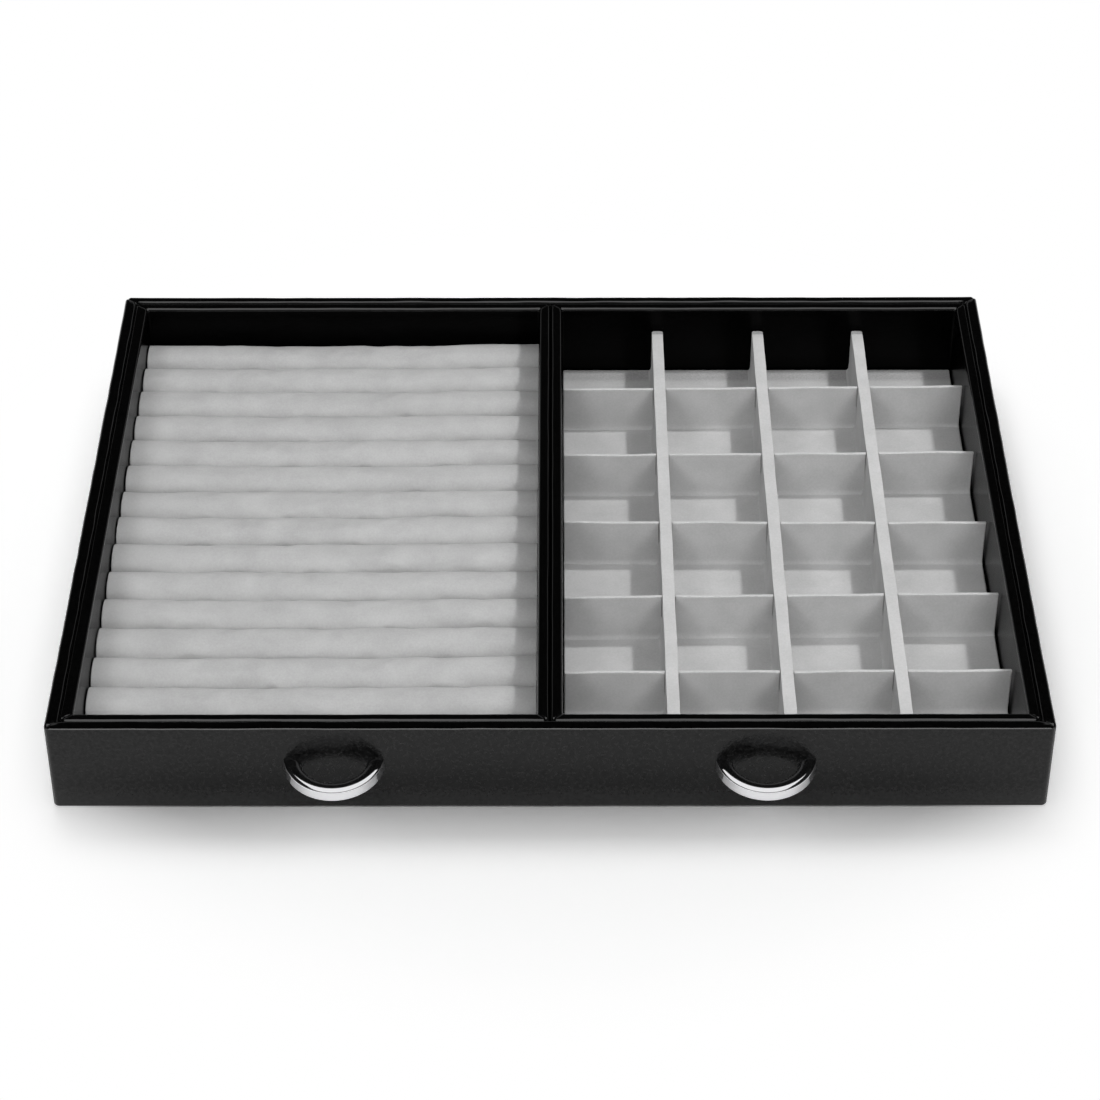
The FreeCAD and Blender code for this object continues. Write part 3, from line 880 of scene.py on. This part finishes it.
# ---- pulls ----
def pull_section():
    """Section of a pull: outwards and upwards from its middle, round from the foot of its face.

    The outer face is flat and upright, an arc of the dome's radius turns over the top into the
    inner side, and the underside is flat between two small roundings.
    """
    face, dome, middle = 3.5, 4.6, (0.67, -0.95)
    edge, toe, heel = 0.6, 0.4, 0.77               # roundings over and under the face, and inside
    below, heel_x = middle[1] - heel, middle[0] - dome + heel
    meet = np.array([face - edge - middle[0], 0])
    meet[1] = np.sqrt((dome - edge) ** 2 - meet[0] ** 2)
    slope = np.degrees(np.arctan2(meet[1], meet[0]))
    return np.concatenate([
        quarter((face - toe, below + toe), toe, -90, 0, 5),
        run((face, below + toe), (face, middle[1] + meet[1]), 0.8),
        quarter((face - edge, middle[1] + meet[1]), edge, 0, slope, 6)[:-1],
        quarter(middle, dome, slope, 180, 20),
        quarter((heel_x, middle[1]), heel, 180, 270, 6)[1:],
        run((heel_x, below), (face - toe, below), 1.0),
    ])


def pull(name, node):
    """A bow pull: its section, kept upright, swept along an arc that hangs a little below level.

    The arc's middle line has the radius R = (half span^2 + reach^2) / (2 reach) and starts from
    the front wall. A section point is at R + r from the arc's centre, so for the turn t its
    distance out is o = (R + r) sin t - (R - reach). Both feet end a little inside the leather.
    """
    sunk, rings = 0.3, 81
    low, high = box_of(node)
    middle, face = (low[0] + high[0]) / 2, high[1]
    droop = np.radians(pull_droop)
    radius = (pull_half_span ** 2 + pull_reach ** 2) / (2 * pull_reach)
    behind = radius - pull_reach
    ahead, up = pull_section().T[:, None, :]
    r = ahead * np.cos(droop) - up * np.sin(droop)
    w = ahead * np.sin(droop) + up * np.cos(droop)
    foot = (-sunk - w * np.sin(droop)) / np.cos(droop)
    start = np.arcsin((behind + foot) / (radius + r))
    turn = start + (np.pi - 2 * start) * np.linspace(0, 1, rings)[:, None]
    out = (radius + r) * np.sin(turn) - behind
    x = middle - (radius + r) * np.cos(turn)
    y = face - out * np.cos(droop) - w * np.sin(droop)
    z = pull_level - out * np.sin(droop) + w * np.cos(droop)
    points = np.stack(np.broadcast_arrays(x, y, z), -1)
    faces = grid_faces(*points.shape[:2], closed_columns=True)
    piece = add_piece(name, points, faces, chrome, "drawer", "pull_chrome", node)
    build = bmesh.new()
    build.from_mesh(piece.data)
    bmesh.ops.holes_fill(build, edges=[edge for edge in build.edges if edge.is_boundary])
    build.to_mesh(piece.data)
    build.free()
    smooth = piece.modifiers.new("finer bow", "SUBSURF")
    smooth.levels = smooth.render_levels = 1
    return piece


pulls = [pull("left_bow_pull", "left_pull"), pull("right_bow_pull", "right_pull")]


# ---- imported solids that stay: boards, bottom panel, brads and screws ----
solid_finishes = {"board": board_core, "base_panel": dyed_board, "screws": zinc_steel,
                  "brads": bright_steel}
for node, solid in frame["nodes"].items():
    finish = next((made for word, made in solid_finishes.items() if word in node), None)
    if finish is None or solid.hide_render or "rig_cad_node" not in solid:
        continue
    if not solid.material_slots:
        solid.data.materials.append(finish)
    for place in solid.material_slots:
        place.material = finish


# ---- studio ----
def studio_floor():
    """White paper sweep: real shadows near the drawer, plain white further off.

    Real shadows show inside an ellipse round the drawer, fade_start over the stretch each way,
    and are gone by fade_end, both in metres. The paper looks brighter than it is, but lights the
    drawer as real paper does.
    """
    reach, stretch = 6.0, (1.2, 1.25, 0.0)
    fade_start, fade_end, bright = 0.255, 0.35, (1.55, 1.55, 1.55, 1.0)
    mesh = bpy.data.meshes.new("paper_floor")
    mesh.from_pydata([(-reach, -reach, 0), (reach, -reach, 0), (reach, reach, 0),
                      (-reach, reach, 0)], [], [(0, 1, 2, 3)])
    material, tree, place = new_material("white_paper")
    away = add_node(tree, "VectorMath", {0: place, 1: stretch}, operation="MULTIPLY")
    away = add_node(tree, "VectorMath", {0: away}, operation="LENGTH").outputs["Value"]
    far = add_node(tree, "MapRange", {"Value": away, "From Min": fade_start, "From Max": fade_end},
                   interpolation_type="SMOOTHSTEP")
    seen = add_node(tree, "LightPath")
    shown = seen.outputs["Is Camera Ray"]
    for ray in ("Is Glossy Ray", "Is Transmission Ray"):
        shown = add_node(tree, "Math", {0: shown, 1: seen.outputs[ray]}, operation="MAXIMUM")
    near = add_node(tree, "BsdfDiffuse", {"Color": bright})
    white = add_node(tree, "Emission", {"Strength": 1.0})
    paper = add_node(tree, "MixShader", {0: far, 1: near, 2: white})
    plain = add_node(tree, "BsdfDiffuse", {"Color": linear("#E6E6E6")})
    both = add_node(tree, "MixShader", {0: shown, 1: plain, 2: paper})
    add_node(tree, "OutputMaterial", {"Surface": both})
    mesh.materials.append(material)
    floor = bpy.data.objects.new("paper_floor", mesh)
    scene.collection.objects.link(floor)
    return floor


def stand(made, place, ahead, side, up):
    """Put a lamp or camera in the scene at its place, with its three axes as unit vectors."""
    turned = np.eye(4)
    turned[:3, 0], turned[:3, 1], turned[:3, 2], turned[:3, 3] = side, up, -ahead, place
    made.matrix_world = Matrix(turned.tolist())
    scene.collection.objects.link(made)


def add_lamp(name, place, target, power, width, depth=None):
    """A soft lamp: an area light of the given width and depth in metres, aimed at a target."""
    lamp = bpy.data.lights.new(name, "AREA")
    lamp.energy, lamp.size = power, width
    lamp.shape = "RECTANGLE" if depth else "DISK"
    if depth:
        lamp.size_y = depth
    made = bpy.data.objects.new(name, lamp)
    ahead = np.subtract(target, place)
    ahead /= np.linalg.norm(ahead)
    side = np.cross(ahead, (0, 1, 0))
    side /= np.linalg.norm(side)
    stand(made, place, ahead, side, np.cross(side, ahead))
    return made


def studio_world():
    """White where the camera looks past the floor, soft in the light, and dark in mirror images.

    In mirror images only the white paper behind shows, up to about 17 degrees over the floor.
    """
    world = bpy.data.worlds.new("studio")
    world.use_nodes = True
    tree = world.node_tree
    tree.nodes.clear()
    seen = add_node(tree, "LightPath")
    way = add_node(tree, "TexCoord").outputs["Generated"]
    up = add_node(tree, "SeparateXYZ", {0: way}).outputs["Z"]
    paper = add_node(tree, "MapRange", {"Value": up, "From Min": 0.22, "From Max": 0.36,
                     "To Min": 0.2, "To Max": 0.01}, interpolation_type="SMOOTHSTEP")
    soft, dim, white = (add_node(tree, "Background", {"Color": (1, 1, 1, 1),
                                 "Strength": strength}) for strength in (0.05, paper, 1.0))
    mirrored = add_node(tree, "MixShader", {0: seen.outputs["Is Glossy Ray"], 1: soft, 2: dim})
    full = add_node(tree, "MixShader", {0: seen.outputs["Is Camera Ray"], 1: mirrored, 2: white})
    add_node(tree, "OutputWorld", {"Surface": full})
    scene.world = world


def studio_camera():
    """Long lens in front of the drawer, looking down 38.5 degrees."""
    place = (0.00303, -1.07035, 0.86155)
    pitch, yaw, tilt = np.radians((38.466, -0.173, -0.161))
    ahead = np.array([np.sin(yaw) * np.cos(pitch), np.cos(yaw) * np.cos(pitch), -np.sin(pitch)])
    side = np.array([np.cos(yaw), -np.sin(yaw), 0.0])
    up = np.cross(side, ahead)
    right = np.cos(tilt) * side + np.sin(tilt) * up
    top = np.cos(tilt) * up - np.sin(tilt) * side
    data = bpy.data.cameras.new("camera")
    data.sensor_width, data.lens = 36.0, 102.02
    data.clip_start, data.clip_end = 0.05, 50.0
    scene.camera = bpy.data.objects.new("camera", data)
    stand(scene.camera, place, ahead, right, top)


floor = studio_floor()
studio_world()
studio_camera()
at_drawer, at_paper = (0.0, 0.0, 0.02), (0.0, 0.0, 0.0)
# Each lamp's place, where it is aimed, its power in watts, and its width and depth in metres. The
# mirrored ones show only in mirror images, and the floor ones light only the paper.
lamps = {
    "key_lamp": ((0.567, 0.218, 0.95), (0.05, 0.0, 0.02), 6.2, 0.075),
    "front_high_panel": ((0.0, -1.1, 1.3), at_drawer, 15.0, 2.0, 0.8),
    "front_left_panel": ((-0.9, -0.95, 1.25), at_drawer, 8.0, 0.6, 0.6),
    "front_right_panel": ((0.9, -0.95, 1.25), at_drawer, 8.5, 0.6, 0.6),
    "front_fill": ((0.0, -1.5, 0.55), at_drawer, 6.0, 3.0, 1.0),
    "back_panel": ((0.0, 1.0, 1.0), at_drawer, 4.4, 2.0, 0.8),
    "right_panel": ((1.2, 0.0, 0.9), at_drawer, 1.5, 0.8, 1.6),
    "mirrored_panel": ((0.0, -0.55, 1.15), (0.0, -0.55, 0.0), 5.5, 1.08, 1.6),
    "mirrored_front": ((0.0, -2.0, 0.5), (0.0, -0.15, 0.04), 12.0, 2.4, 0.7),
    "mirrored_card": ((0.0, 1.6, 0.95), (0.0, -0.17, 0.02), 1.44, 2.2, 1.6),
    "floor_back": ((-0.7, 2.4, 2.6), at_paper, 13.2, 2.5, 2.5),
    "floor_over": ((0.0, 0.3, 2.6), at_paper, 30.5, 2.5, 2.5),
    "floor_front": ((0.0, -2.2, 1.8), at_paper, 6.6, 3.5, 2.0),
    "floor_hard": ((-0.25, 1.0, 1.9), at_paper, 8.2, 0.8, 0.8),
}
lit_by = {name: add_lamp(name, *placing) for name, placing in lamps.items()}


def link_light(lamp, pieces, state, shadows=False):
    """Light only the pieces (INCLUDE), or all but the pieces (EXCLUDE).

    With shadows, it is about the pieces that cast shadows instead.
    """
    group = bpy.data.collections.new("linked_to_" + lamp.name)
    for piece in pieces:
        group.objects.link(piece)
    if shadows:
        lamp.light_linking.blocker_collection = group
    else:
        lamp.light_linking.receiver_collection = group
    for member in group.collection_objects:
        member.light_linking.link_state = state


for name, lamp in lit_by.items():
    only_mirrored = name.startswith("mirrored")
    lamp.visible_glossy, lamp.visible_diffuse = only_mirrored, not only_mirrored
    if name == "mirrored_card":
        link_light(lamp, pulls, "INCLUDE")
    elif name == "mirrored_front":
        link_light(lamp, [front_wall], "INCLUDE")
    elif name == "mirrored_panel":
        link_light(lamp, [floor, front_wall], "EXCLUDE")
    elif name.startswith("floor"):
        link_light(lamp, [floor], "INCLUDE")
        link_light(lamp, pulls, "EXCLUDE", shadows=True)
    else:
        link_light(lamp, [floor], "EXCLUDE")
